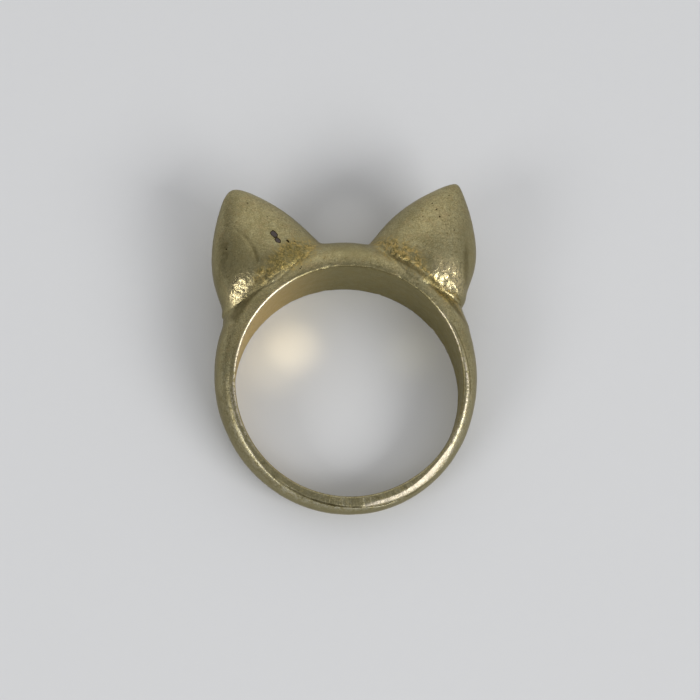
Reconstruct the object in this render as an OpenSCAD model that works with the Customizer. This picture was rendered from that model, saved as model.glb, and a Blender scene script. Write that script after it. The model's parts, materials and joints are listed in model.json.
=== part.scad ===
// Cat-ear finger ring, one solid casting, lying on its side. Millimetres.
// The section is worked out in the ring's own frame: bore axis Z, ears towards +Y.
// Each half of the casting is a height above the middle plane, and a blend of
// squared heights joins the band and the two ears.

/* [Finger bore] */
// radius of the finger bore
bore_r = 8.65; // [8:0.05:9.4]
// bevel where the bore meets each side rim
bore_bevel = 0.12; // [0.08:0.01:0.2]

/* [Band] */
// half of the band's width at the two sides
band_half_w = 2.3; // [2:0.05:2.8]
// half width gained under the ears and lost at the back
band_flare = 1.15; // [0.9:0.05:1.3]
// wall between the ears
wall_top = 2.64; // [2.2:0.01:3]
// wall at the back of the band
wall_back = 1.19; // [1:0.01:1.6]
// wall at the left side, seen with the ears up
wall_left = 1.54; // [1.2:0.01:1.8]
// wall at the right side
wall_right = 1.17; // [1.1:0.01:1.8]
// wall moved from the lower left quarter to the lower right one
wall_turn = 0.075; // [0:0.005:0.1]
// how square the outside of the section is, 2 is a half ellipse
crown_power = 2.26; // [2:0.02:2.6]
// crown that the filing of the side rims takes off all round
filed_top = 0.04; // [0.03:0.01:0.08]
// further crown that it takes off at the lower right of the back
filed_back = 0.32; // [0.1:0.01:0.4]
// share of that which the right side keeps from being filed
filed_eased = 0.8; // [0:0.05:0.8]

/* [Both ears] */
// half depth of an ear at its fullest
ear_half_d = 3.6; // [3.2:0.05:3.8]
// how far above its foot an ear is fullest
ear_full_at = 2; // [1.5:0.1:3]
// softness of the crease between band and ear
crease_soft = 4; // [2:0.1:6]

/* [Left ear] */
// foot, to the left of the bore axis
left_x = 5.7; // [5.4:0.01:6]
// foot, above the bore axis
left_y = 8.36; // [8.2:0.02:8.6]
// lean away from the middle, in degrees
left_lean = 33.7; // [32:0.1:38]
// height of the ear above its foot
left_h = 7.86; // [7.4:0.01:8.2]
// half width at the foot
left_half_w = 4.4; // [4.2:0.01:4.5]
// depth below the foot at which the ear's outline closes
left_foot = 1; // [0.8:0.1:1.6]
// depth below the foot to which its crown runs on into the band
left_run = 3; // [2.4:0.1:4]
// share of the squared depth lost at the foot
left_tuck = 0.08; // [0:0.01:0.15]
// most that the ear narrows below its foot
left_pinch = 4.8; // [1.6:0.05:6]
// share by which the outer corner of the foot is drawn in
left_drawn = 0.09; // [0:0.01:0.3]
// further softness of the crease at that corner
left_fillet = 1.4; // [0:0.1:3.5]
// bend of the ear towards the middle at its tip
left_bend = 0.135; // [0:0.005:0.25]
// power of the side's taper
left_taper = 1.28; // [0.6:0.01:1.4]
// bluntness of the tip
left_blunt = 0.65; // [0.1:0.01:0.8]

/* [Right ear] */
// foot, to the right of the bore axis
right_x = 5.29; // [5.1:0.01:5.6]
// foot, above the bore axis
right_y = 9.03; // [8.8:0.01:9.2]
// lean away from the middle, in degrees
right_lean = 26.7; // [24:0.1:30]
// height of the ear above its foot
right_h = 8.02; // [7.5:0.01:8.2]
// half width at the foot
right_half_w = 4.2; // [4:0.01:4.3]
// depth below the foot at which the ear's outline closes
right_foot = 1.4; // [1:0.1:2]
// depth below the foot to which its crown runs on into the band
right_run = 3.6; // [2.4:0.1:4]
// share of the squared depth lost at the foot
right_tuck = 0.03; // [0:0.01:0.15]
// most that the ear narrows below its foot
right_pinch = 1.65; // [1.6:0.05:6]
// share by which the outer corner of the foot is drawn in
right_drawn = 0.22; // [0:0.01:0.3]
// further softness of the crease at that corner
right_fillet = 2.9; // [0:0.1:3.5]
// bend of the ear towards the middle at its tip
right_bend = 0.05; // [0:0.005:0.2]
// power of the side's taper
right_taper = 1.03; // [0.6:0.01:1.4]
// bluntness of the tip
right_blunt = 0.21; // [0.1:0.01:0.8]

/* [Mesh] */
// degrees between columns where an ear runs into the band
crease_step = 1; // [1:0.25:2]
// degrees between columns across the middle of an ear
ear_step = 2.5; // [2:0.25:4]
// degrees between columns round the back of the band
back_step = 6; // [5:0.5:8]
// points from the bore to the outside on each half
half_points = 18; // [14:1:18]

/* [Hidden] */

wall_mean = (wall_top + wall_back + wall_left + wall_right) / 4;
wall_rise = (wall_top - wall_back) / 2;
wall_swell = (wall_top + wall_back - wall_left - wall_right) / 4;
wall_skew = (wall_left - wall_right) / 2;
rim_slope = band_flare / bore_r;
rest_tilt = atan(rim_slope);
// the filing is heaviest at this angle round the bore, and narrows from it by this power
filed_most = -72;
filed_power = 5;
// cosines between which the right side's easing comes in
eased_from = 0.62;
eased_to = 0.9;
// share of an ear's crown that is left where it has run out into the band
crown_least = 0.7;
// shares of an ear's half width between which its outer corner lies, and how far the
// drawing in reaches along the ear
corner_in = 0.3;
corner_out = 0.85;
corner_far = 2;
// depth in the wall, as a share of it, at which the crease is softest
crease_reach = 1.2;

// angles round the bore where the sides of the ears run into the band
right_outer = [22, 40];
right_inner = [72, 82];
left_inner = [98, 108];
left_outer = [146, 160];
// spans of angle with the step between their columns
spans = [
    [right_outer[0], right_outer[1], crease_step],
    [right_outer[1], right_inner[0], ear_step],
    [right_inner[0], right_inner[1], crease_step],
    [right_inner[1], left_inner[0], ear_step],
    [left_inner[0], left_inner[1], crease_step],
    [left_inner[1], left_outer[0], ear_step],
    [left_outer[0], left_outer[1], crease_step],
    [left_outer[1], right_outer[0] + 360, back_step]
];
core_inset = 0.25;
step_out = 0.3;
halvings = 16;
// the height profile thins out towards the rim, so the points gather there
gather = 1.2;
trim_size = 60;
bore_sides = 240;
brass = [0.71, 0.62, 0.36];

left_ear = [-left_x, left_y, left_lean, left_h, left_half_w, left_foot, left_run, left_tuck,
            left_pinch, left_drawn, left_fillet, left_bend, left_taper, left_blunt, 1];
right_ear = [right_x, right_y, -right_lean, right_h, right_half_w, right_foot, right_run,
             right_tuck, right_pinch, right_drawn, right_fillet, right_bend, right_taper,
             right_blunt, -1];

// rises from 0 at low to 1 at high, level at both ends
function smooth(x, low, high) =
    let (t = min(max((x - low) / (high - low), 0), 1))
    t * t * (3 - 2 * t);

// height of the filed side rim above the middle plane
function rim_height(y) = band_half_w + rim_slope * y;

// wall of the band where s and c are the sine and cosine of the angle round it
function wall(s, c) =
    wall_mean + wall_rise * s - wall_swell * (c * c - s * s) - wall_skew * c
    - 2 * wall_turn * s * c;

// crown that stands above the filed rim before filing
function filed(s, c) =
    let (towards = s * sin(filed_most) + c * cos(filed_most))
    (filed_top + filed_back * pow((1 + towards) / 2, filed_power))
    * (1 - filed_eased * smooth(c, eased_from, eased_to));

// how far a point lies out through the wall, 0 at the bore and 1 at the outside
function depth_in_wall(x, y) =
    let (r = norm([x, y]))
    max(r - bore_r, 0) / wall(y / r, x / r);

// squared half height of the band
function band_square(x, y) =
    let (
        s = y / norm([x, y]),
        c = x / norm([x, y]),
        half = band_half_w + band_flare * s + filed(s, c)
    )
    half * half * (1 - pow(depth_in_wall(x, y), crown_power));

// distances from an ear's foot: along its bent axis, and across it towards the middle
function ear_place(x, y, ear) =
    let (
        lean = ear[2],
        h = ear[3],
        bend = ear[11],
        side = ear[14],
        dx = x - ear[0],
        dy = y - ear[1],
        a = dy * cos(lean) - dx * sin(lean)
    )
    [a, side * (dx * cos(lean) + dy * sin(lean)) - bend * a * abs(a) / h];

// how far towards the outer corner of an ear's foot a point lies, from 0 to 1
function cornering(x, y, ear) =
    smooth(-ear_place(x, y, ear)[1] / ear[4], corner_in, corner_out);

// squared half height of one ear: a profile along its axis, less a parabola across it
function ear_square(x, y, ear) =
    let (
        h = ear[3],
        half_w = ear[4],
        foot = ear[5],
        run = ear[6],
        tuck = ear[7],
        pinch = ear[8],
        drawn = ear[9],
        taper = ear[12],
        blunt = ear[13],
        a = ear_place(x, y, ear)[0],
        b = ear_place(x, y, ear)[1],
        d = 1 - a * a / (h * h),
        crown = a < 0 ? 1 - a * a / (run * run)
                      : d * pow((max(d, 0) + blunt) / (1 + blunt), taper),
        closing = max(1 - a * a / (foot * foot), 1 / pinch),
        narrow = a < 0 ? max(crown, crown_least) / closing : 1,
        drawn_in = 1 + drawn * cornering(x, y, ear) * exp(-a * a / (corner_far * corner_far)),
        fullness = 1 - tuck * pow(min(max(1 - a / ear_full_at, 0), 2), 2)
    )
    ear_half_d * ear_half_d * fullness
    * (crown - narrow * drawn_in * b * b / (half_w * half_w));

// the larger of two values with a soft change over
function soft_max(p, q, soft) = (p + q + sqrt((p - q) * (p - q) + soft * soft)) / 2;

// a squared half height with one ear blended on to it, most softly at the ear's outer corner
function with_ear(x, y, square, ear) =
    let (
        deep = min(depth_in_wall(x, y), crease_reach) / crease_reach,
        soft = crease_soft * deep * deep * (1 + ear[10] * cornering(x, y, ear))
    )
    soft_max(square, ear_square(x, y, ear), soft);

// squared half height of the whole casting
function square_at(x, y) =
    with_ear(x, y, with_ear(x, y, band_square(x, y), left_ear), right_ear);

function square_on(angle, r) = square_at(r * cos(angle), r * sin(angle));

// outside radius at an angle: step out past the surface, then halve the step
function step_past(angle, r) = square_on(angle, r) < 0 ? r : step_past(angle, r + step_out);
function halve(angle, lo, hi, n) =
    n == 0 ? lo
    : let (mid = (lo + hi) / 2)
      square_on(angle, mid) > 0 ? halve(angle, mid, hi, n - 1) : halve(angle, lo, mid, n - 1);
function outer_r(angle) =
    let (past = step_past(angle, bore_r + 2 * step_out))
    halve(angle, past - step_out, past, halvings);

// points of the upper half of one section, from inside the bore to the outside
function upper_half(angle) =
    let (
        c = cos(angle),
        s = sin(angle),
        rim = rim_height(bore_r * s),
        start = bore_r + bore_bevel + filed(s, c),
        end = outer_r(angle),
        inner = bore_r - core_inset
    )
    concat(
        [[inner * c, inner * s, rim - bore_bevel - core_inset]],
        [for (j = [0 : half_points - 2])
            let (
                t = j / (half_points - 2),
                r = start + (end - start) * (1 - pow(1 - t, 2) * (1 + gather * t)),
                h = j == half_points - 2 ? 0 : sqrt(max(square_on(angle, r), 0))
            )
            [r * c, r * s, h]]
    );

angles = [for (span = spans)
    let (count = round((span[1] - span[0]) / span[2]))
    for (i = [0 : count - 1])
        span[0] + (span[1] - span[0]) * i / count];
halves = [for (angle = angles) upper_half(angle)];
loop = 2 * half_points - 1;
columns = len(angles);
cast_points = [for (half = halves)
    for (j = [0 : loop - 1])
        j < half_points ? half[j]
        : [half[loop - j - 1][0], half[loop - j - 1][1], -half[loop - j - 1][2]]];
function spot(i, j) = (i % columns) * loop + j % loop;
cast_faces = [for (i = [0 : columns - 1])
    for (j = [0 : loop - 1])
        for (half = [0, 1])
            half == 0 ? [spot(i, j), spot(i + 1, j), spot(i + 1, j + 1)]
                      : [spot(i, j), spot(i + 1, j + 1), spot(i, j + 1)]];

// the casting's outline on the floor, for centring it on the frame's origin
floor_x = [for (p = cast_points) p[0]];
floor_y = [for (p = cast_points) p[1] * cos(rest_tilt) - p[2] * sin(rest_tilt)];
middle_x = (max(floor_x) + min(floor_x)) / 2;
middle_y = (max(floor_y) + min(floor_y)) / 2;

// what a side rim's filing takes off: all above the sloping rim plane
module filed_off() {
    translate([0, 0, band_half_w])
        rotate([rest_tilt, 0, 0])
            translate([-trim_size / 2, -trim_size / 2, 0])
                cube([trim_size, trim_size, trim_size / 4]);
}

module finger_bore() {
    cylinder(r = bore_r, h = trim_size / 2, center = true, $fn = bore_sides);
}

module ring() {
    color(brass)
        translate([-middle_x, -middle_y, band_half_w * cos(rest_tilt)])
            rotate([rest_tilt, 0, 0])
                difference() {
                    polyhedron(points = cast_points, faces = cast_faces, convexity = 8);
                    finger_bore();
                    filed_off();
                    mirror([0, 0, 1])
                        filed_off();
                }
}

ring();
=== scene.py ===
import json
import math
import bpy
import numpy as np
from mathutils import Matrix, Vector


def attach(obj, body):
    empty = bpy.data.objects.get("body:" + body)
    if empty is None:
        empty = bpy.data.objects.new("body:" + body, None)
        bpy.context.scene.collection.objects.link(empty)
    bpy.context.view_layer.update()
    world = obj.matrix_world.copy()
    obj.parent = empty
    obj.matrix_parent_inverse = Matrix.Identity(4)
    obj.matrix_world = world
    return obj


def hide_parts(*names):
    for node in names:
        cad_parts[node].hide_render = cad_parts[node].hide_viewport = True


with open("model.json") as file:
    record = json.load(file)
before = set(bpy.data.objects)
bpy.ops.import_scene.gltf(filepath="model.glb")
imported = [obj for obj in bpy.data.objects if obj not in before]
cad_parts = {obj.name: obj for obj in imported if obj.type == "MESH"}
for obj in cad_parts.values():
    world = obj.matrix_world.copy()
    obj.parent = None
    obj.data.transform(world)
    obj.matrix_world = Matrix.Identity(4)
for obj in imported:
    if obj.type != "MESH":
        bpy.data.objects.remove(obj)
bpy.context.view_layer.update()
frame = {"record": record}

# The view. The ring lies on its side and is seen from nearly straight above through a long
# lens. The camera leans a little towards the back of the band and to the left of the bore.
# Its place is given from the bore's own axes: X right, Y towards the ears, Z up the bore.
MM = 0.001
bore = next(m for m in frame["record"]["mounts"] if m["name"] == "finger_bore")
bore_middle = Vector(bore["pos_m"])
bore_axis = Vector(bore["axis"]).normalized()
ears_way = bore_axis.cross(Vector((1, 0, 0))).normalized()
ring_axes = Matrix((Vector((1, 0, 0)), ears_way, bore_axis)).transposed()
lean_left, lean_back = math.radians(3.335), math.radians(13.785)
camera_far = 186.5 * MM
aim = Vector((0.147, 2.947, 0)) * MM
lens_mm, sensor_mm = 124.8, 36

camera_data = bpy.data.cameras.new("photo_view")
camera_data.lens = lens_mm
camera_data.sensor_width = sensor_mm
camera_data.clip_start = 0.01
camera = bpy.data.objects.new("photo_view", camera_data)
bpy.context.scene.collection.objects.link(camera)
back = (ring_axes @ Vector((-math.tan(lean_left), -math.tan(lean_back), 1))).normalized()
side = ears_way.cross(back).normalized()
upright = back.cross(side)
camera.matrix_world = Matrix.Translation(bore_middle + ring_axes @ aim + back * camera_far) @ \
    Matrix((side, upright, back)).transposed().to_4x4()
bpy.context.scene.camera = camera
bpy.context.scene.view_settings.view_transform = "Standard"

# The light. Two soft lamps stand low on either side and a little towards the back of the
# band, the right one the stronger, in a dim room with a few broad pale parts, the brightest
# of them high up behind the ears. What the brass throws on the card has lamps of its own.
lamp_far = 1.4
room_dim = 0.09
# azimuth, elevation and spread in degrees, brightness and colour of each pale part of the
# room: the two warm parts are behind the ears, the cool ones at the right and the back
room_warm = (1.0, 0.985, 0.94)
room_cool = (0.97, 1.0, 1.10)
room_parts = (
    (108, 39, 27, 0.88, room_warm), (60, 8, 27, 0.58, room_warm), (-75, 29, 23, 0.60, room_cool),
    (-10, 43, 22, 0.40, room_cool), (10, 16, 20, 0.18, room_cool), (-135, 22, 18, 0.45, room_cool),
)


def pale_room():
    """A world of one dim level plus a bell for each pale part of the room: its brightness
    times exp((cosine of the angle from its middle - 1) / spread squared)."""
    world = bpy.data.worlds.new("pale_room")
    world.use_nodes = True
    nodes, links = world.node_tree.nodes, world.node_tree.links
    way = nodes.new("ShaderNodeTexCoord")

    def worked(kind, operation, *values):
        """A node of arithmetic on sockets and plain values."""
        node = nodes.new(kind)
        node.operation = operation
        for socket, value in zip(node.inputs, values):
            if isinstance(value, bpy.types.NodeSocket):
                links.new(value, socket)
            else:
                socket.default_value = value
        return node.outputs[0]

    total = (room_dim, room_dim, room_dim)
    for azimuth, elevation, spread, bright, colour in room_parts:
        a, e = math.radians(azimuth), math.radians(elevation)
        middle = (math.cos(e) * math.cos(a), math.cos(e) * math.sin(a), math.sin(e))
        turn = nodes.new("ShaderNodeVectorMath")
        turn.operation = "DOT_PRODUCT"
        turn.inputs[1].default_value = middle
        links.new(way.outputs["Generated"], turn.inputs[0])
        steep = 1 / math.radians(spread) ** 2
        fall = worked("ShaderNodeMath", "MULTIPLY_ADD", turn.outputs["Value"], steep, -steep)
        share = worked("ShaderNodeMath", "EXPONENT", fall)
        total = worked("ShaderNodeVectorMath", "MULTIPLY_ADD", share,
                       tuple(bright * c for c in colour), total)
    links.new(total, nodes["Background"].inputs["Color"])
    bpy.context.scene.world = world


def soft_lamp(name, azimuth, elevation, width, height, radiance):
    """A lamp panel facing the ring. Its power is pi times its area times its radiance."""
    lamp = bpy.data.lights.new(name, "AREA")
    lamp.shape = "RECTANGLE"
    lamp.size, lamp.size_y = width, height
    lamp.energy = math.pi * width * height * radiance
    panel = bpy.data.objects.new(name, lamp)
    bpy.context.scene.collection.objects.link(panel)
    a, e = math.radians(azimuth), math.radians(elevation)
    way = Vector((math.cos(e) * math.cos(a), math.cos(e) * math.sin(a), math.sin(e)))
    panel.location = way * lamp_far
    panel.rotation_euler = way.to_track_quat("Z", "Y").to_euler()


pale_room()
soft_lamp("lamp_right", -42, 30, 1.07, 0.51, 7.6)
soft_lamp("lamp_left", -144, 28, 0.71, 0.43, 5.8)

# height of the narrow lamps over the card
thrown_from = 0.3


def thrown_light(name, x, y, across, colour, power):
    """A narrow spot from straight above, for a soft round patch at (x, y) of the light that
    the brass of the bore or of the ears throws on the card."""
    lamp = bpy.data.lights.new(name, "SPOT")
    lamp.spot_size = 2 * math.atan(across / 2 / thrown_from)
    lamp.spot_blend = 1
    lamp.shadow_soft_size = 0.001
    lamp.color = colour
    lamp.energy = power
    spot = bpy.data.objects.new(name, lamp)
    bpy.context.scene.collection.objects.link(spot)
    spot.location = (x, y, thrown_from)


thrown_light("thrown_left", -0.0038, 0.0009, 0.0040, (1.0, 0.82, 0.50), 1.40)
thrown_light("thrown_low", -0.0053, -0.0008, 0.0056, (1.0, 0.84, 0.54), 0.55)
thrown_light("thrown_right", 0.0052, 0.0004, 0.0046, (1.0, 0.92, 0.60), 0.25)
thrown_light("thrown_top", 0.0003, 0.0118, 0.0064, (1.0, 0.98, 0.95), 0.30)

# The floor. The ring lies on a sheet of smooth pale card, at the height of the lower rim.
# The card is no part of the ring.
floor_half = 0.6
card_pale = (0.657, 0.662, 0.668, 1)


def card_material():
    """Pale matt card with a very faint mottle."""
    card = bpy.data.materials.new("pale_card")
    card.use_nodes = True
    nodes, links = card.node_tree.nodes, card.node_tree.links
    shader = nodes["Principled BSDF"]
    where = nodes.new("ShaderNodeTexCoord")
    mottle = nodes.new("ShaderNodeTexNoise")
    mottle.inputs["Scale"].default_value = 900
    mottle.inputs["Detail"].default_value = 6
    tint = nodes.new("ShaderNodeMix")
    tint.data_type = "RGBA"
    tint.inputs["A"].default_value = [0.985 * c for c in card_pale[:3]] + [1]
    tint.inputs["B"].default_value = card_pale
    links.new(where.outputs["Object"], mottle.inputs["Vector"])
    links.new(mottle.outputs["Fac"], tint.inputs["Factor"])
    links.new(tint.outputs["Result"], shader.inputs["Base Color"])
    shader.inputs["Roughness"].default_value = 0.85
    shader.inputs["Specular IOR Level"].default_value = 0.2
    return card


floor_mesh = bpy.data.meshes.new("card")
corners = [(x * floor_half, y * floor_half, 0) for x, y in ((-1, -1), (1, -1), (1, 1), (-1, 1))]
floor_mesh.from_pydata(corners, [], [(0, 1, 2, 3)])
floor_mesh.materials.append(card_material())
card = bpy.data.objects.new("card", floor_mesh)
bpy.context.scene.collection.objects.link(card)

# The casting. Band and ears are one pour of brass, tumbled and filed by hand: a domed band
# that is broad and thick under the ears and slim at the back, two fat pointed ears, and a
# narrow flat filed on each side rim. All sizes are in millimetres on the bore's own axes.
bore_r = bore["dims"]["r_mm"]
# half width of the band at its two sides, and what it gains under the ears
band_half_w, band_flare = 2.3, 1.15
# wall between the ears, at the back, left and right, and what moves from lower left to right
wall_top, wall_back, wall_left, wall_right, wall_turn = 2.64, 1.19, 1.54, 1.17, 0.075
# how square the outside of the section is
crown_power = 2.26
# crown that the filing of the rims takes off all round, and further at the back, how narrowly
# and at which angle most; and the share of that which the right side keeps, from and to these
# cosines of the angle
filed_top, filed_back, filed_power = 0.04, 0.32, 5
filed_most = math.radians(-72)
filed_eased, eased_cosines = 0.8, (0.62, 0.90)
# half depth of an ear at its fullest, how far above its foot that is, and the least of its
# crown that counts where it narrows below the foot
ear_half_d, ear_full_at, crown_least = 3.6, 2, 0.7
# the outer corner of the foot: from and to which share of the half width, and how far along
corner_from, corner_far = (0.3, 0.85), 2
# softness of the creases, and how many walls out from the bore it stops growing
crease_soft, crease_reach = 4.0, 1.2
# each ear's foot, lean in degrees, height, half width, depths to which its outline and its
# crown run below the foot, fullness lost at the foot, narrowing there, its outer corner's
# draw and softness, bend, taper and bluntness of the tip, and the way to the middle
left_ear = dict(x=-5.70, y=8.36, lean=33.7, h=7.86, half_w=4.4, foot=1.0, run=3.0, tuck=0.08,
                pinch=4.8, drawn=0.09, fillet=1.4, bend=0.135, taper=1.28, blunt=0.65, side=1)
right_ear = dict(x=5.29, y=9.03, lean=-26.7, h=8.02, half_w=4.2, foot=1.4, run=3.6, tuck=0.03,
                 pinch=1.65, drawn=0.22, fillet=2.9, bend=0.05, taper=1.03, blunt=0.21, side=-1)
# roundings of the bore's corners and of the filed rim's outer edge
edge_round, land_soft = 0.18, 0.035
rim_slope = band_flare / bore_r


def soft_max(p, q, soft):
    """The larger of p and q, rounded over where they meet: (p + q + sqrt((p-q)^2 + soft^2)) / 2."""
    return (p + q + np.sqrt((p - q) ** 2 + soft * soft)) / 2


def smooth(x, low, high):
    """0 below low, 1 above high and 3t^2 - 2t^3 between."""
    t = np.clip((x - low) / (high - low), 0, 1)
    return t * t * (3 - 2 * t)


def filed(s, c):
    """Crown above the filed rim before filing, most where the sine s and cosine c point at
    the lower right of the back, and hardly any on the right side."""
    towards = s * math.sin(filed_most) + c * math.cos(filed_most)
    return (filed_top + filed_back * ((1 + towards) / 2) ** filed_power) \
        * (1 - filed_eased * smooth(c, *eased_cosines))


def wall_share(x, y):
    """How far a point lies out through the band's wall, 0 at the bore and 1 outside. The wall
    is a mean plus a first and a second harmonic of the angle round the bore."""
    r = np.hypot(x, y)
    s, c = y / r, x / r
    wall = ((wall_top + wall_back + wall_left + wall_right) / 4 + (wall_top - wall_back) / 2 * s
            - (wall_top + wall_back - wall_left - wall_right) / 4 * (c * c - s * s)
            - (wall_left - wall_right) / 2 * c - 2 * wall_turn * s * c)
    return np.maximum(r - bore_r, 0) / wall


def band_square(x, y):
    """Squared half width of the domed band: half^2 (1 - share^power)."""
    r = np.hypot(x, y)
    half = band_half_w + band_flare * y / r + filed(y / r, x / r)
    return half * half * (1 - wall_share(x, y) ** crown_power)


def ear_places(x, y, ear):
    """Distances from an ear's foot, a along its bent axis and b across it towards the middle,
    and how far towards the outer corner a point lies, from 0 to 1."""
    lean = math.radians(ear["lean"])
    dx, dy = x - ear["x"], y - ear["y"]
    a = dy * math.cos(lean) - dx * math.sin(lean)
    b = ear["side"] * (dx * math.cos(lean) + dy * math.sin(lean)) \
        - ear["bend"] * a * np.abs(a) / ear["h"]
    return a, b, smooth(-b / ear["half_w"], *corner_from)


def ear_square(x, y, ear):
    """Squared half depth of an ear: a length profile along its axis a, less (b / half_w)^2
    across it. Below the foot the profile runs on into the band while the ear narrows, and the
    outer corner of the foot is drawn in."""
    a, b, corner = ear_places(x, y, ear)
    d = 1 - (a / ear["h"]) ** 2
    tip = d * ((np.maximum(d, 0) + ear["blunt"]) / (1 + ear["blunt"])) ** ear["taper"]
    below = 1 - (a / ear["run"]) ** 2
    closing = np.maximum(1 - (a / ear["foot"]) ** 2, 1 / ear["pinch"])
    narrow = np.where(a < 0, np.maximum(below, crown_least) / closing, 1)
    narrow = narrow * (1 + ear["drawn"] * corner * np.exp(-(a / corner_far) ** 2))
    full = 1 - ear["tuck"] * np.clip(1 - a / ear_full_at, 0, 2) ** 2
    profile = np.where(a < 0, below, tip)
    return ear_half_d ** 2 * full * (profile - narrow * (b / ear["half_w"]) ** 2)


def square_at(x, y):
    """Squared half height of the whole casting: band and ears in soft maxima. The softness
    grows with the square of the depth in the wall, so the bore keeps its straight rim, and
    again at the outer corner of each ear's foot."""
    soft = crease_soft * (np.minimum(wall_share(x, y), crease_reach) / crease_reach) ** 2
    square = band_square(x, y)
    for ear in (left_ear, right_ear):
        corner = ear_places(x, y, ear)[2]
        square = soft_max(square, ear_square(x, y, ear), soft * (1 + ear["fillet"] * corner))
    return square


# the ladder of radii: its first step past the bore, its last radius and its number of steps;
# and how often the last step is halved
ladder_past, ladder_last, ladder_steps = 0.4, 19, 90
halvings = 24


def outside_radius(angle):
    """Radius at which the squared height falls to nothing, found by marching out on a fixed
    ladder of radii and then halving the last step."""
    c, s = np.cos(angle), np.sin(angle)
    ladder = np.linspace(bore_r + ladder_past, ladder_last, ladder_steps)[:, None]
    inside = square_at(ladder * c, ladder * s) > 0
    last = len(ladder) - 1 - np.argmax(inside[::-1], axis=0)
    lo = ladder[last, 0]
    hi = lo + (ladder[1, 0] - ladder[0, 0])
    for _ in range(halvings):
        mid = (lo + hi) / 2
        solid = square_at(mid * c, mid * s) > 0
        lo, hi = np.where(solid, mid, lo), np.where(solid, hi, mid)
    return lo


# the facet that wear has left on the front rim at the lower right: the angles, in degrees,
# over which it fades in, draws close to the bore, turns from broad to sharp, and fades out;
# how far out from the bore it begins; and its slopes, from its near edge to far from it
facet_in, facet_shift, facet_turn, facet_out = (-86, -72), (-68, -34), (-46, -30), (-40, -22)
facet_far, facet_near = 0.56, 0.24
facet_slope, facet_steep = 0.40, 0.82
facet_broad, facet_sharp = 0.6, 0.2
facet_soft = 0.04


def polar(x, y):
    """Angle round the bore in degrees, from +X, and distance from its axis."""
    return np.degrees(np.arctan2(y, x)), np.hypot(x, y)


def window(value, fade_in, fade_out):
    """1 between two fades and 0 outside them."""
    return smooth(value, *fade_in) * (1 - smooth(value, *fade_out))


def rim_height(y):
    """Height of the filed rim over the middle plane, which grows towards the ears."""
    return band_half_w + rim_slope * y


def facet_drop(x, y):
    """Depth of the worn facet under the rim plane. With d the distance from its near edge and
    w how broadly it bends, it is steep * d - (steep - slope) * w * (1 - exp(-d / w))."""
    turn, r = polar(x, y)
    start = facet_far + (facet_near - facet_far) * smooth(turn, *facet_shift)
    w = facet_broad + (facet_sharp - facet_broad) * smooth(turn, *facet_turn)
    d = soft_max(r - bore_r - start, 0, facet_soft)
    drop = facet_steep * d - (facet_steep - facet_slope) * w * (1 - np.exp(-d / w))
    return window(turn, facet_in, facet_out) * drop


def top_height(x, y, front):
    """Height of the upper skin over the middle plane: the casting's height, cut by the filed
    rim plane, and on the front also by the worn facet, each with a narrow rounding."""
    rim = rim_height(y)
    top = -soft_max(-np.sqrt(np.maximum(square_at(x, y), 0)), -rim, land_soft)
    if front:
        top = -soft_max(-top, facet_drop(x, y) - rim, land_soft)
    return top


# the step over which the crown's fall is taken, as a share of the radius, and its least fall
fall_step, fall_least = 0.004, 0.05


def past_edge(x, y):
    """Distance out from the edge of the filed rim: how far the crown lies under the rim plane,
    over how fast it falls outward, both taken from two points a little apart."""
    def under(k):
        """Depth of the crown under the rim plane at k times the point's own radius."""
        return rim_height(k * y) - np.sqrt(np.maximum(square_at(k * x, k * y), 0))
    fall = (under(1 + fall_step) - under(1)) / (fall_step * np.hypot(x, y))
    return under(1) / np.maximum(fall, fall_least)


# angles where the spacing of the columns changes, with the number of columns to the next
column_spans = ((20, 42, 62), (42, 72, 146), (72, 84, 40), (84, 98, 26), (98, 110, 40),
                (110, 146, 166), (146, 162, 50), (162, 255, 55), (255, 335, 140), (335, 380, 33))
# points along the half wall, round the corner, and over the front and the back crown, and
# how strongly these last gather towards the outside
wall_points, edge_points = 6, 6
front_points, back_points = 74, 32
gather = 1.2
# the front corner of the bore filed back a little at the lower right: angle, spread, depth
eased_at, eased_wide, eased_deep = -31, 17, 0.10


def half_section(angle, front):
    """One half of the closed section as arrays of r and height, from the middle of the bore
    wall to the outside: a straight wall, a quarter round, then the crown, whose points
    gather towards the outside as 1 - (1-t)^2 (1 + gather t)."""
    c, s = np.cos(angle), np.sin(angle)
    outside = outside_radius(angle)
    edge = np.full_like(angle, edge_round)
    rise = np.linspace(0, 1, wall_points, endpoint=False)[:, None]
    arc = np.linspace(0, math.pi / 2, edge_points, endpoint=False)[:, None]
    t = np.linspace(0, 1, front_points if front else back_points)[:, None]
    spread = 1 - (1 - t) ** 2 * (1 + gather * t)
    r = np.concatenate([
        np.full((wall_points, len(angle)), bore_r),
        bore_r + edge * (1 - np.cos(arc)),
        bore_r + edge + (outside - bore_r - edge) * spread])
    h = top_height(r * c, r * s, front)
    start = h[wall_points] - edge
    if front:
        turn = (np.degrees(angle) + 180 - eased_at) % 360 - 180
        share = np.clip((outside - r) / (outside - bore_r), 0, 1)
        share[:wall_points] = rise ** 2
        r = r + eased_deep * share * np.exp(-(turn / eased_wide) ** 2)
    h[:wall_points] = start * rise
    h[wall_points:wall_points + edge_points] -= edge * (1 - np.sin(arc))
    h[-1] = 0
    return r, h


# large numbers that scramble a lattice corner's place and a seed, and then the result again
scramble = (73856093, 19349663, 83492791, 2654435761)
scramble_again = (2246822519, 3266489917)


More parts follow.
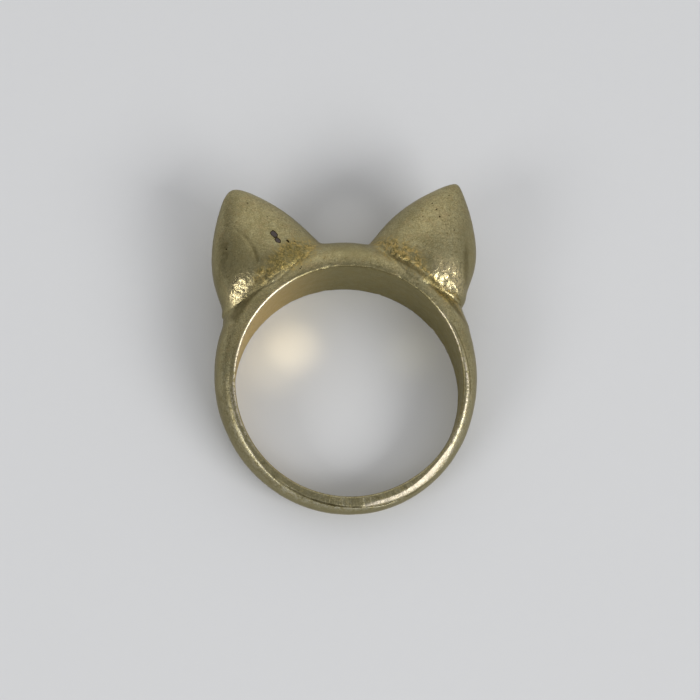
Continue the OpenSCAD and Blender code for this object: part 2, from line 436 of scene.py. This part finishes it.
def value_noise(points, size, seed):
    """Smooth noise from -1 to 1: a scrambled whole number at each corner of a lattice of the
    given size, blended between the eight corners by 6t^5 - 15t^4 + 10t^3."""
    q = points / size
    cell = np.floor(q).astype(np.int64)
    t = q - cell
    t = t * t * t * (t * (t * 6 - 15) + 10)
    total = np.zeros(q.shape[:-1])
    for corner in np.ndindex(2, 2, 2):
        i = cell + np.array(corner)
        mix = i[..., 0] * scramble[0] ^ i[..., 1] * scramble[1] ^ i[..., 2] * scramble[2] \
            ^ seed * scramble[3]
        mix = ((mix ^ (mix >> 15)) * scramble_again[0]) & 0xFFFFFFFF
        mix = ((mix ^ (mix >> 13)) * scramble_again[1]) & 0xFFFFFFFF
        share = np.prod(np.where(np.array(corner) == 1, t, 1 - t), axis=-1)
        total += share * (((mix ^ (mix >> 16)) & 0xFFFF) / 32767.5 - 1)
    return total


def lumps(p, *kinds):
    """Sum of noises, each of a kind given as its height, size and seed."""
    return sum(height * value_noise(p, size, seed) for height, size, seed in kinds)


def bell(value, width):
    """1 in the middle and falling off to both sides: exp(-(value / width)^2)."""
    return np.exp(-(value / width) ** 2)


def near(x, y, x0, y0, reach):
    """A round bell, 1 at its middle: exp(-(distance / reach)^2)."""
    return bell(np.hypot(x - x0, y - y0), reach)


def stretch(turn, fade_in, fade_out):
    """1 along a stretch of the angle round the bore, faded at both of its ends. The angle is
    first brought to within half a turn of the stretch's middle."""
    middle = (fade_in[1] + fade_out[0]) / 2
    return window((turn - middle + 180) % 360 - 180 + middle, fade_in, fade_out)


# pits on the front of the ears: place, reach and depth
pits = (
    (-4.84, 10.73, 0.10, 0.08), (-4.72, 10.62, 0.08, 0.07), (-3.94, 8.36, 0.06, 0.03),
    (-3.84, 8.48, 0.07, 0.03), (-3.74, 8.60, 0.06, 0.02),
    (-4.25, 10.70, 0.06, 0.04), (-7.88, 14.09, 0.08, 0.06), (-6.32, 12.82, 0.06, 0.03),
    (-9.45, 10.2, 0.08, 0.05), (6.94, 13.00, 0.11, 0.07), (6.71, 13.63, 0.08, 0.05),
    (7.62, 13.10, 0.06, 0.04), (5.61, 12.95, 0.06, 0.04), (8.03, 11.90, 0.06, 0.04),
    (7.77, 15.08, 0.06, 0.04), (8.26, 14.77, 0.06, 0.04), (6.39, 14.21, 0.07, 0.04),
)
# two joined grains of slag let into the left ear: middle, half length, half width and turn
slag_ovals = ((-5.84, 11.22, 0.45, 0.30, -48), (-5.55, 10.66, 0.33, 0.25, -35))
slag_deep = 0.05
# where the tumbling did not reach and the skin is still as cast: middle, half length, half
# width and turn in degrees of each oval, two by the left ear's front foot and one by the right
left_cast = ((-4.5, 9.55, 2.9, 1.35, 33), (-6.6, 7.9, 1.3, 0.8, 35))
right_cast = ((3.9, 9.85, 2.8, 1.05, -35),)
# where shade is painted darkest into the tarnish: the lower outer half of the left ear, the middle
# of its cast patch, the right ear's side, and the band between the ears
shade_ovals = ((-8.3, 9.6, 2.8, 1.8, 80), (-5.0, 9.3, 2.5, 1.2, 33), (8.9, 10.6, 2.8, 0.9, 88),
               (0.1, 9.9, 2.0, 0.9, 0))
# where the as-cast skin turns towards the lamps and glints, the gaps in it and how dull they
# are, and how far out from the right crease the glints begin
glint_ovals = ((-8.36, 6.98, 1.35, 0.95, 60), (7.5, 7.95, 1.6, 1.5, -45))
glint_gaps = ((-7.72, 7.40, 0.8, 0.17, -65), (7.62, 7.90, 0.95, 0.14, -78),
              (7.05, 8.05, 0.6, 0.10, -60))
gap_dull = 0.85
glint_begins = (0.20, 0.50)
# the outer corner of the left ear's foot, rubbed down a little where it bulges and filled
# where it meets the band: place, reach and height
rubbed = ((-9.84, 5.85, 0.50, -0.06), (-9.54, 5.02, 0.36, 0.07))
# the shallow valley down the outer side of the left ear and the fold on its front: middle x
# and y, lean and bend of x over y, half length, width and depth
valleys = (
    (-9.50, 10.9, 0.0, 0.022, 3.5, 0.33, 0.050),
    (-7.62, 10.3, -0.62, -0.16, 1.9, 0.18, 0.045),
)
# a valley's depth is this even, and uneven by this much in lumps of this size
valley_even, valley_uneven, valley_seed = 0.75, (0.6, 0.7), 10


def ovals(x, y, table, inner=0.3, outer=1.2):
    """Share from 0 to 1 inside any of the ovals, falling off round their edges."""
    total = 0
    for x0, y0, half_l, half_w, turn in table:
        c, sn = math.cos(math.radians(turn)), math.sin(math.radians(turn))
        u, v = (x - x0) * c + (y - y0) * sn, (y - y0) * c - (x - x0) * sn
        total = np.maximum(total, 1 - smooth(np.hypot(u / half_l, v / half_w), inner, outer))
    return total


def valley(x, y, which):
    """Bell across one valley times a bell along it, broken by noise."""
    x0, y0, lean, bend, half_l, width, _ = valleys[which]
    t = y - y0
    flat = np.stack([x, y, 0 * x], axis=-1)
    broken = valley_even + lumps(flat, (*valley_uneven, valley_seed + which))
    return broken * bell(x - x0 - lean * t - bend * t * t, width) * np.exp(-(t / half_l) ** 6)


# the crease at the foot of each ear: angle round the bore where it comes closest, its radius
# there, how fast it moves out to both sides, its reach in degrees, and its width and depth
creases = (
    (126, 9.72, 0.0010, 22, 0.13, 0.030),
    (50, 9.82, 0.0007, 25, 0.20, 0.06),
)
# outside the right crease a ridge runs, from where it fades in: distance, width and height
ridge_in = (49, 55)
ridge_out, ridge_width, ridge_height = 0.34, 0.10, 0.024
# the crease's lumpy outer wall: its ends, its distance and its width
grit_ends = ((30, 37), (50, 56))
grit_out, grit_width = 0.22, 0.24
# the line cut along the outer edge of the filed rim: its angles, its distance from the bore
# at both, how early it gets to the second, and where along its length it fades in and out
cut_from, cut_to = -128, -34
cut_start, cut_end, cut_early = 0.52, 0.98, 1.6
cut_in, cut_out = (0, 0.12), (0.7, 1)
cut_width, cut_depth = 0.055, 0.09
# the cut's depth is this even, and uneven by this height, size and seed
cut_even, cut_uneven = 0.75, (0.4, 0.5, 6)


def past_crease(turn, r, crease):
    """Distance out from a crease, whose radius grows with the square of the angle from where
    it comes closest."""
    middle, close, rise = crease[:3]
    return r - close - rise * (turn - middle) ** 2


def crease_shares(x, y):
    """Bells along the left and the right crease, and along the ridge outside the right one."""
    turn, r = polar(x, y)
    shares = []
    for crease in creases:
        middle, _, _, reach, width, _ = crease
        along, out = np.exp(-((turn - middle) / reach) ** 6), past_crease(turn, r, crease)
        shares.append(along * bell(out, width))
    shares.append(along * smooth(turn, *ridge_in) * bell(out - ridge_out, ridge_width))
    return shares


def glint_share(x, y):
    """Share inside the glinting ovals, less their gaps, and less the side of the right crease."""
    clear = smooth(past_crease(*polar(x, y), creases[1]), *glint_begins)
    gaps = gap_dull * ovals(x, y, glint_gaps, inner=0.4)
    return ovals(x, y, glint_ovals) * (1 - gaps) * np.where(x > 0, clear, 1)


def grit_share(x, y):
    """Bell along the outer wall of the right crease, where the skin is lumpy."""
    turn, r = polar(x, y)
    out = past_crease(turn, r, creases[1]) - grit_out
    return bell(out, grit_width) * stretch(turn, *grit_ends)


def cut_share(x, y):
    """Bell across the cut line at the back of the front rim, which moves out with the angle."""
    turn, r = polar(x, y)
    t = (turn - cut_from) / (cut_to - cut_from)
    out = r - bore_r - cut_start - (cut_end - cut_start) * np.clip(cut_early * t, 0, 1)
    return window(t, cut_in, cut_out) * bell(out, cut_width)


# the short marks that a file left across the front rim at the back: where they fade in and
# out round the bore, how near the rim plane they begin, and how far out from the bore
hash_ends = ((-116, -98), (-62, -30))
hash_near, hash_start = (-0.5, -0.2), (0.05, 0.3)


def hash_share(x, y, z):
    """1 on the front rim and facet where the file marks cross it, 0 elsewhere."""
    turn, r = polar(x, y)
    return stretch(turn, *hash_ends) * smooth(z - rim_height(y), *hash_near) \
        * smooth(r - bore_r, *hash_start)


def round_way(p):
    """The point of the bore's circle that a place lies outward of."""
    flat = p * np.array([1, 1, 0])
    return bore_r * flat / np.linalg.norm(flat, axis=-1, keepdims=True)


def corner_share(x, y, z, reach):
    """Bell round the corner between the bore and either side rim."""
    return bell(np.hypot(np.hypot(x, y) - bore_r, rim_height(y) - np.abs(z)), reach)


# heights over the middle plane between which the front's own relief and finish fade in
front_fade = (0.3, 1.0)


def front_share(z):
    """1 on the front of the casting, and 0 near the middle plane and behind it."""
    return smooth(z, *front_fade)


# lumps of the skin, each kind by height, size and seed: the slow waves of the hand finish,
# the as-cast skin, its glinting parts, the file marks and the grit in the right crease
waves = ((0.016, 1.9, 1), (0.007, 0.7, 2), (0.003, 0.3, 3))
cast_lumps = ((0.022, 0.34, 4), (0.018, 0.17, 5))
left_glints, right_glints, fine_glints = (0.036, 0.20, 7), (0.060, 0.29, 7), (0.008, 0.12, 9)
hash_lumps, grit_lumps = (0.013, 0.19, 12), (0.036, 0.16, 13)
# the right ear's glints are drawn out across their slant: shares of x and y, and the squeeze
slant_x, slant_y, slant_squeeze = 0.94, 0.34, 0.45
# nicks along the bore's corners: their noise, how much of it leaves none, depth and reach;
# they fade out towards the back with y - slope x, and towards the left with x
nick_noise, nick_spared, nick_deep, nick_reach = (1, 0.33, 8), 0.15, 0.07, 0.3
nick_slope, nick_back, nick_left = 0.6, (-6, 2), (-5.6, -4.6)


def relief(p):
    """Height of the skin over the plain form: slow waves left by hand, fine lumps, coarse
    grain at the feet of the ears, creases, valleys, the cut line, nicks and pits."""
    x, y, z = p[..., 0], p[..., 1], p[..., 2]
    left, right, ridge = crease_shares(x, y)
    cut = cut_depth * cut_share(x, y) * (cut_even + lumps(p, cut_uneven))
    lift = ridge_height * ridge - creases[0][-1] * left - creases[1][-1] * right - cut
    lift -= sum(row[-1] * valley(x, y, which) for which, row in enumerate(valleys))
    lift += ovals(x, y, left_cast + right_cast) * lumps(p, *cast_lumps)
    slant = np.stack([x * slant_x - y * slant_y, (y * slant_x + x * slant_y) * slant_squeeze, z],
                     axis=-1)
    glints = np.where(x > 0, lumps(slant, right_glints), lumps(p, left_glints))
    lift += glint_share(x, y) * (glints + lumps(p, fine_glints))
    lift += grit_share(x, y) * lumps(p, grit_lumps)
    lift -= slag_deep * ovals(x, y, slag_ovals, inner=0.5, outer=1.1)
    for x0, y0, reach, depth in pits:
        lift -= depth * near(x, y, x0, y0, reach)
    lift *= front_share(z)
    lift += lumps(p, *waves) + hash_share(x, y, z) * lumps(round_way(p), hash_lumps)
    nick = np.maximum(lumps(p, nick_noise) - nick_spared, 0) * corner_share(x, y, z, nick_reach)
    lift -= nick_deep * nick * smooth(y - nick_slope * x, *nick_back) * smooth(x, *nick_left)
    for x0, y0, reach, height in rubbed:
        lift += height * near(x, y, x0, y0, reach)
    return lift


def normals_of(p):
    """Unit normals of a grid closed both ways, from the cross product of its two central
    differences."""
    across = np.roll(p, -1, 0) - np.roll(p, 1, 0)
    along = np.roll(p, -1, 1) - np.roll(p, 1, 1)
    n = np.cross(across, along)
    return n / np.linalg.norm(n, axis=-1, keepdims=True)


# relief stands proud of the rim plane by at most this on the front, and not at all behind
proud = 0.3


def casting_points():
    """Grid of the whole skin: rows go round the section, columns go round the bore."""
    angle = np.radians(np.concatenate([np.linspace(a, b, n, endpoint=False)
                                       for a, b, n in column_spans]))
    r, h = half_section(angle, True)
    r_back, h_back = half_section(angle, False)
    r = np.concatenate([r, r_back[-2:0:-1]])
    h = np.concatenate([h, -h_back[-2:0:-1]])
    p = np.stack([r * np.cos(angle), r * np.sin(angle), h], axis=-1)
    p = p + normals_of(p) * relief(p)[..., None]
    rim = rim_height(p[..., 1])
    p[..., 2] = np.clip(p[..., 2], -rim, rim + proud * (p[..., 2] > 0))
    return p


def closed_grid(name, p):
    """A mesh of quads over a grid of points that is closed both ways."""
    rows, columns = p.shape[:2]
    i, j = np.meshgrid(np.arange(rows), np.arange(columns), indexing="ij")
    i2, j2 = (i + 1) % rows, (j + 1) % columns
    quads = np.stack([i * columns + j, i2 * columns + j, i2 * columns + j2, i * columns + j2], -1)
    mesh = bpy.data.meshes.new(name)
    mesh.vertices.add(rows * columns)
    mesh.vertices.foreach_set("co", p.astype(np.float32).ravel())
    mesh.loops.add(quads.size)
    mesh.loops.foreach_set("vertex_index", quads.ravel().astype(np.int32))
    mesh.polygons.add(rows * columns)
    mesh.polygons.foreach_set("loop_start", np.arange(0, quads.size, 4, dtype=np.int32))
    mesh.update(calc_edges=True)
    mesh.polygons.foreach_set("use_smooth", np.ones(rows * columns, bool))
    return mesh


# bare lines, partly wear that rubbing has left and partly painted highlight, each with the angles
# over which it fades in and out: on the bore's corner by both ears, and on the left at the outer
# edge of the filed rim and close to the bore, with their distance out and half width
corner_lines, corner_reach = (((114, 126), (186, 198)), ((6, 14), (38, 46))), 0.16
edge_line, edge_line_width = ((180, 188), (222, 234)), 0.035
bore_line, bore_line_out, bore_line_width = ((176, 184), (205, 222)), 0.18, 0.07
left_lines_share = 0.9
# on the right a bead, a bare line that is partly painted highlight, draws nearer to the bore with
# the angle, and the front is darker beside it
bead_line, bead_width = ((-36, -30), (4, 20)), 0.075
bead_out, bead_draws_in, bead_between = 0.31, 0.0075, (-5, 40)
beside_line, beside_out, beside_width = ((-10, -2), (26, 34)), 0.20, 0.06
# the bare lines are whole here, and broken into dots elsewhere
whole_line = ((121, 129), (164, 178))


def bead_place(turn):
    """Distance of the bead from the bore, falling steadily with the angle."""
    return bead_out - bead_draws_in * np.clip(turn, *bead_between)


def wear_and_highlight_share(x, y, z):
    """Bells along all the bare lines, partly wear and partly painted highlight. The one at the
    rim's edge follows how far a point lies past that edge, and the others follow the bore."""
    turn, r = polar(x, y)
    on_corner = corner_share(x, y, z, corner_reach) * sum(stretch(turn, *e) for e in corner_lines)
    edge = bell(past_edge(x, y), edge_line_width) * stretch(turn, *edge_line)
    inner = bell(r - bore_r - bore_line_out, bore_line_width) * stretch(turn, *bore_line)
    bead = bell(r - bore_r - bead_place(turn), bead_width) * stretch(turn, *bead_line)
    return np.maximum(on_corner, front_share(z) * (left_lines_share * (edge + inner) + bead))


# where the front is also darkened, as painted shade, besides the creases, valleys and cut: the
# bore's corner between the ears, the slope over the left crease, and the crown past the filed rim's
# edge on the left
top_corner = ((40, 50), (108, 118))
gully_ends, gully_out, gully_width = ((124, 131), (148, 158)), 0.30, 0.42
crown_ends, crown_from, crown_to = ((178, 188), (232, 246)), (0.04, 0.12), (0.35, 0.8)
# painted shade on a spot by the right ear's foot, and down the outer side of each ear: middle x and
# y, half width, half length and share
foot_spot = (6.07, 7.62, 0.32)
ear_sides = ((8.97, 9.3, 0.32, 1.9, 1.0), (-9.95, 9.4, 0.42, 2.6, 0.8))
# how much darkening, as grime and painted shade, each of these holds
grime_and_shade_in = dict(left_crease=0.6, right_crease=1.0, valley=0.6, fold=0.9, cut=1.0, foot=1.0,
                sides=0.8, corner=1.3, gully=1.2, grit=0.36, crown=0.6, beside=1.1, cast=0.2)


# depths under the rim plane over which a filed rim gives way to the crown
land_fade = (0.01, 0.05)


def filed_share(y, z):
    """1 on the filed rims, front and back, and 0 from just under their plane."""
    return 1 - smooth(rim_height(y) - np.abs(z), *land_fade)


def grime_and_shade_share(x, y, z):
    """Darkening on the front, partly grime and partly painted shade: in the creases, valleys and
    cut line, on the bore's corner between the ears, over the left crease, at the right ear's foot,
    down the ears' outer sides and on the crown past the left rim's edge. Each place's share times
    what it holds.
    """
    turn, r = polar(x, y)
    left, right, ridge = crease_shares(x, y)
    past = past_edge(x, y)
    off_rim = 1 - filed_share(y, z)
    over_crease = r - creases[0][1] - gully_out
    past_bead = r - bore_r - bead_place(turn) - beside_out
    darkened_places = dict(
        left_crease=left, right_crease=right, valley=valley(x, y, 0), fold=valley(x, y, 1),
        cut=cut_share(x, y), foot=near(x, y, *foot_spot),
        sides=sum(share * bell(x - x0, half_w) * np.exp(-((y - y0) / half_l) ** 4)
                  for x0, y0, half_w, half_l, share in ear_sides),
        corner=corner_share(x, y, z, corner_reach) * stretch(turn, *top_corner),
        gully=bell(over_crease, gully_width) * stretch(turn, *gully_ends) * off_rim,
        grit=grit_share(x, y) * off_rim,
        crown=stretch(turn, *crown_ends) * window(past, crown_from, crown_to),
        beside=bell(past_bead, beside_width) * stretch(turn, *beside_line),
        cast=ovals(x, y, right_cast) * (1 - ridge))
    return sum(grime_and_shade_in[name] * share for name, share in darkened_places.items()) * front_share(z)


# how far out from the bore its own finish ends
bore_fade = (0.0, 0.1)
# where the facet's skin is pale: over which depths of the facet, and how far out from the
# bore and round it
facet_shows, facet_hides = (0, 0.03), (0.15, 0.3)
facet_wide, facet_ends = (0.75, 0.95), (-36, -28)
# how much of the as-cast skin lies in the right crease, and how much less by the left ear
crease_cast, left_less, left_from = 0.5, 0.1, (2, 5)
# the golden lip of the right crease, and the ridge's share of it
lip_ends, ridge_lip = ((36, 43), (54, 62)), 0.8
# where the gold painted as light on the bore's lit side stops, from the left, and where the band is
# worn, towards the back
lit_left, worn_back = (-6.5, -0.5), (-3, 6)
# upright part of the normal over which a flank, darker as more tarnish and as painted shade, gives
# way to the skin that faces up
flank_fade = (0.2, 0.7)


def skin_masks(p):
    """What the finish follows, as shares from 0 to 1: cast and glint at the feet of the ears, worn
    edges that carry painted highlights and where their wear is broken into dots, the facet, filed
    rims and bore, the bore itself and its lit side, file marks, flanks, painted shade, the crease's
    lip, the front rim, the back of the band, darkening by grime and painted shade, pits and slag;
    and along, the distance in metres round the section from the middle of the bore."""
    x, y, z = p[..., 0], p[..., 1], p[..., 2]
    turn, r = polar(x, y)
    front, filed_rim = front_share(z), filed_share(y, z)
    bore_wall = 1 - smooth(r - bore_r, *bore_fade)
    facet = window(facet_drop(x, y), facet_shows, facet_hides) \
        * (1 - smooth(r - bore_r, *facet_wide)) * (1 - smooth(turn, *facet_ends))
    _, right, ridge = crease_shares(x, y)
    cast = np.maximum(ovals(x, y, left_cast + right_cast),
                      np.maximum(ridge, crease_cast * right + grit_share(x, y)))
    cast = cast * (1 - left_less * smooth(-x, *left_from))
    lip = np.maximum(right * stretch(turn, *lip_ends), ridge_lip * ridge)
    step = np.linalg.norm(p - np.roll(p, 1, 0), axis=-1)
    step[0] = 0
    run = np.cumsum(step, axis=0)
    return {"cast": cast * front, "glint": glint_share(x, y) * front,
            "wear_and_sheen": wear_and_highlight_share(x, y, z), "dots": 1 - stretch(turn, *whole_line),
            "facet": facet * front, "hash": hash_share(x, y, z),
            "filed": np.maximum(filed_rim, bore_wall), "bore": bore_wall,
            "bore_lit": bore_wall * (1 - smooth(x, *lit_left)),
            "flank": (1 - smooth(np.abs(normals_of(p)[..., 2]), *flank_fade)) * (1 - bore_wall),
            "shade": ovals(x, y, shade_ovals, inner=0.2, outer=1.3) * front,
            "lip": lip * front, "land": filed_rim * front,
            "back": smooth(-y, *worn_back) * (1 - bore_wall), "dark": grime_and_shade_share(x, y, z),
            "pit": sum(near(x, y, x0, y0, reach) for x0, y0, reach, _ in pits) * front,
            "slag": ovals(x, y, slag_ovals, inner=0.0, outer=1.3) * front,
            "along": np.minimum(run, run[-1] - run) * MM}


# from the bore's own axes in millimetres to the part's frame in metres
own = casting_points()
turned = own @ np.array(ring_axes.transposed()) * MM + np.array(bore_middle)
ring_mesh = closed_grid("cat_ear_ring", turned)
for name, share in skin_masks(own).items():
    layer = ring_mesh.attributes.new(name, "FLOAT", "POINT")
    layer.data.foreach_set("value", np.clip(share, 0, 1).astype(np.float32).ravel())
layer = ring_mesh.attributes.new("round", "FLOAT_VECTOR", "POINT")
layer.data.foreach_set("vector", (round_way(own) * MM).astype(np.float32).ravel())
ring = bpy.data.objects.new("cat_ear_ring", ring_mesh)
bpy.context.scene.collection.objects.link(ring)

# colours of the brass, from its tarnish to its bare metal, of what lies on it, and of the shade
# painted on it
olive = (0.405, 0.35, 0.19, 1)
olive_dark = (0.25, 0.22, 0.11, 1)
green_grey = (0.35, 0.325, 0.19, 1)
brown = (0.37, 0.29, 0.155, 1)
golden = (0.63, 0.45, 0.16, 1)
golden_dark = (0.15, 0.125, 0.04, 1)
amber_dark = (0.26, 0.20, 0.055, 1)
worn_grey = (0.47, 0.445, 0.34, 1)
# the bore's gold, painted light on its lit side
bore_lit_gold = (0.52, 0.395, 0.178, 1)
bore_olive = (0.235, 0.207, 0.090, 1)
bare = (0.74, 0.65, 0.49, 1)
facet_pale = (0.50, 0.44, 0.36, 1)
cast_bright = (0.64, 0.53, 0.27, 1)
grime_and_shade = (0.15, 0.125, 0.055, 1)
soot = (0.040, 0.030, 0.012, 1)
slag_grey = (0.105, 0.088, 0.085, 1)
edge_tint = (0.92, 0.88, 0.78, 1)
# how far the soft streaks are turned from the ring's own length
streak_turn = math.radians(12)


def brass_material():
    """Brass under an olive tarnish: golden where it is still as cast, bare on the worn edges with
    painted highlights along some of them, darker in the hollows by grime and painted shade, darker
    on the flanks partly by painted shade, golden on the bore's lit side as painted light, black in
    the pits, and grey where slag lies in it. The masks say where, and noise of several sizes breaks
    them up."""
    brass = bpy.data.materials.new("tumbled_brass")
    brass.use_nodes = True
    nodes, links = brass.node_tree.nodes, brass.node_tree.links
    shader = nodes["Principled BSDF"]
    where = nodes.new("ShaderNodeTexCoord")

    def put(socket, value):
        """Set a socket to a plain value, or link it to another node's output."""
        if isinstance(value, (int, float, tuple)):
            socket.default_value = value
        else:
            links.new(value, socket)

    def noise(scale, detail, source=None):
        """Noise from 0 to 1, with so many lumps to the metre."""
        tex = nodes.new("ShaderNodeTexNoise")
        tex.inputs["Scale"].default_value = scale
        tex.inputs["Detail"].default_value = detail
        tex.inputs["Roughness"].default_value = 0.6
        links.new(source or where.outputs["Object"], tex.inputs["Vector"])
        return tex.outputs["Fac"]

    def mask(name):
        """One of the layers that skin_masks gives."""
        read = nodes.new("ShaderNodeAttribute")
        read.attribute_name = name
        return read.outputs["Fac"]

    def place(name):
        """A place that is stored with the points of the mesh."""
        read = nodes.new("ShaderNodeAttribute")
        read.attribute_name = name
        return read.outputs["Vector"]

    def span(value, low, high, out_low=0.0, out_high=1.0):
        """A smooth step from out_low at low to out_high at high."""
        fit = nodes.new("ShaderNodeMapRange")
        fit.interpolation_type = "SMOOTHSTEP"
        put(fit.inputs["Value"], value)
        put(fit.inputs["From Min"], low)
        put(fit.inputs["From Max"], high)
        put(fit.inputs["To Min"], out_low)
        put(fit.inputs["To Max"], out_high)
        return fit.outputs["Result"]

    def math_of(operation, *values):
        """One step of arithmetic on sockets and plain numbers."""
        node = nodes.new("ShaderNodeMath")
        node.operation = operation
        for socket, value in zip(node.inputs, values):
            put(socket, value)
        return node.outputs["Value"]

    def times(*values):
        """Product of all the values."""
        total = values[0]
        for value in values[1:]:
            total = math_of("MULTIPLY", total, value)
        return total

    def plus(*values):
        """Sum of all the values."""
        total = values[0]
        for value in values[1:]:
            total = math_of("ADD", total, value)
        return total

    def mix(share, a, b):
        """Colour a at share 0, and b at share 1."""
        node = nodes.new("ShaderNodeMix")
        node.data_type = "RGBA"
        put(node.inputs["Factor"], share)
        put(node.inputs["A"], a)
        put(node.inputs["B"], b)
        return node.outputs["Result"]

    # file marks run round the band: the place round it counts little, the place across a lot
    flat = nodes.new("ShaderNodeMapping")
    flat.inputs["Scale"].default_value = (0.1, 0.1, 0)
    links.new(where.outputs["Object"], flat.inputs["Vector"])
    across = nodes.new("ShaderNodeCombineXYZ")
    links.new(mask("along"), across.inputs["Z"])
    both = nodes.new("ShaderNodeVectorMath")
    links.new(flat.outputs["Vector"], both.inputs[0])
    links.new(across.outputs["Vector"], both.inputs[1])
    marks = noise(11000, 3, both.outputs["Vector"])

    # the marks across the rim change only round the bore
    hashes = noise(6500, 2, place("round"))

    # soft streaks lie along the ears
    drawn_out = nodes.new("ShaderNodeMapping")
    drawn_out.inputs["Rotation"].default_value = (0, 0, streak_turn)
    drawn_out.inputs["Scale"].default_value = (1, 0.16, 0.4)
    links.new(where.outputs["Object"], drawn_out.inputs["Vector"])
    streaks = noise(1900, 3, drawn_out.outputs["Vector"])

    # from the finest to the broadest
    grain, speckle, drift = noise(9500, 3), noise(4200, 4), noise(2300, 3)
    mottle, clouds = noise(1300, 5), noise(330, 4)
    cast, glint, wear_and_sheen, filed_skin = mask("cast"), mask("glint"), mask("wear_and_sheen"), mask("filed")
    bore_skin, bore_lit, dark = mask("bore"), mask("bore_lit"), mask("dark")
    pit, slag = mask("pit"), mask("slag")
    facet, hashed = mask("facet"), times(mask("hash"), filed_skin)

    # the tarnish: olive in clouds, drifting to green grey and brown, greyer at the back and
    # darker on the filed rim, with dark specks, streaks and grain and a few bright grains
    colour = mix(span(clouds, 0.36, 0.66), olive, olive_dark)
    colour = mix(span(drift, 0.40, 0.62, 0, 0.6), colour, green_grey)
    colour = mix(span(mottle, 0.48, 0.68, 0, 0.6), colour, brown)
    colour = mix(times(mask("back"), span(drift, 0.35, 0.6, 0.4, 0.8)), colour, worn_grey)
    colour = mix(times(mask("land"), 0.8), colour, olive_dark)
    colour = mix(span(speckle, 0.48, 0.60, 0, 0.65), colour, olive_dark)
    colour = mix(span(streaks, 0.50, 0.70, 0, 0.5), colour, olive_dark)
    colour = mix(span(grain, 0.48, 0.60, 0, 0.60), colour, olive_dark)
    ticks = plus(speckle, times(grain, 0.5))
    colour = mix(span(ticks, 0.87, 0.95, 0, 0.7), colour, grime_and_shade)
    colour = mix(span(grain, 0.48, 0.38, 0, 0.30), colour, cast_bright)

    # the flanks are darker, partly tarnish and partly painted shade, and so is the bore, but gold
    # is painted on its lit side as light
    colour = mix(times(mask("flank"), 0.85), colour, olive_dark)
    colour = mix(times(bore_skin, 0.75), colour, bore_olive)
    colour = mix(times(bore_lit, 0.85), colour, bore_lit_gold)

    # patches of gold and dark gold where the skin is as cast, and painted shade over the shade
    # ovals, amber on the as-cast skin and dark olive elsewhere
    gold_grain = plus(times(grain, 0.4), times(speckle, 0.6))
    golds = mix(span(gold_grain, 0.42, 0.60), golden_dark, golden)
    golds = mix(span(drift, 0.44, 0.60, 0, 0.45), golds, green_grey)
    patchy = span(plus(cast, times(speckle, 0.8), times(mottle, 0.5), -0.65), 0.0, 0.85)
    colour = mix(times(patchy, 0.8), colour, golds)
    shaded_gold = mix(span(grain, 0.45, 0.58), golden_dark, amber_dark)
    shaded = mix(patchy, olive_dark, shaded_gold)
    colour = mix(times(mask("shade"), span(mottle, 0.35, 0.6, 0.5, 1.0), 0.7), colour, shaded)
    colour = mix(times(mask("lip"), 0.7), colour, golds)

    # bright glints, the pale facet with bare metal between its file marks, and the bare lines,
    # partly wear and partly painted highlight, here and there broken into dots
    colour = mix(times(glint, span(speckle, 0.56, 0.46)), colour, cast_bright)
    colour = mix(times(glint, span(grain, 0.46, 0.56, 0, 0.3)), colour, bare)
    colour = mix(times(facet, 0.55), colour, facet_pale)
    colour = mix(times(hashed, facet, span(hashes, 0.50, 0.42), 0.7), colour, bare)
    dotted = span(plus(speckle, times(mask("dots"), -0.12)), 0.30, 0.42)
    colour = mix(times(wear_and_sheen, dotted), colour, bare)

    # grime in the hollows and file marks together with painted shade, soot in the pits and round
    # the slag, then the slag
    grimy_marks = times(hashed, span(hashes, 0.5, 0.62), 0.6)
    grimy_and_shaded = span(plus(dark, times(speckle, 0.5), grimy_marks, -0.25), 0.2, 0.9)
    # painted shade: this grime colour also darkens places that are only in shade
    colour = mix(times(grimy_and_shaded, 0.75), colour, grime_and_shade)
    slag_broken = plus(slag, times(speckle, 0.5), times(grain, 0.2), -0.35)
    black = span(plus(pit, times(grain, 0.3), -0.15), 0.40, 0.55)
    black = math_of("MAXIMUM", black, span(slag_broken, 0.30, 0.36))
    colour = mix(black, colour, soot)
    colour = mix(span(slag_broken, 0.42, 0.66), colour, slag_grey)
    links.new(colour, shader.inputs["Base Color"])
    shader.inputs["Metallic"].default_value = 1
    shader.inputs["Specular Tint"].default_value = edge_tint

    # smoother where it glints or is worn, rougher where it is as cast, in the bore, on the
    # facet and lip, and in the pits
    roughness = plus(span(mottle, 0.3, 0.7, 0.30, 0.41), times(patchy, 0.04), times(glint, -0.19),
                     times(bore_skin, 0.12), times(wear_and_sheen, -0.06), times(facet, 0.11),
                     times(mask("lip"), 0.1), times(black, 0.2))
    links.new(roughness, shader.inputs["Roughness"])

    # the finest relief: grain all over, coarser where it is as cast, and the file marks
    height = plus(times(mottle, 1.5), times(speckle, 1.5), times(grain, 1.8),
                  times(patchy, plus(times(grain, 0.9), times(speckle, 1.0))),
                  times(glint, plus(times(grain, 1.2), times(speckle, 1.2))),
                  times(filed_skin, marks, 0.6), times(hashed, hashes, 3.0),
                  times(facet, hashes, 3.0))
    bump = nodes.new("ShaderNodeBump")
    bump.inputs["Strength"].default_value = 1
    bump.inputs["Distance"].default_value = 0.00001
    bump.inputs["Filter Width"].default_value = 0.1
    links.new(height, bump.inputs["Height"])
    links.new(bump.outputs["Normal"], shader.inputs["Normal"])
    return brass


ring_mesh.materials.append(brass_material())
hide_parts("ring")
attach(ring, "root")
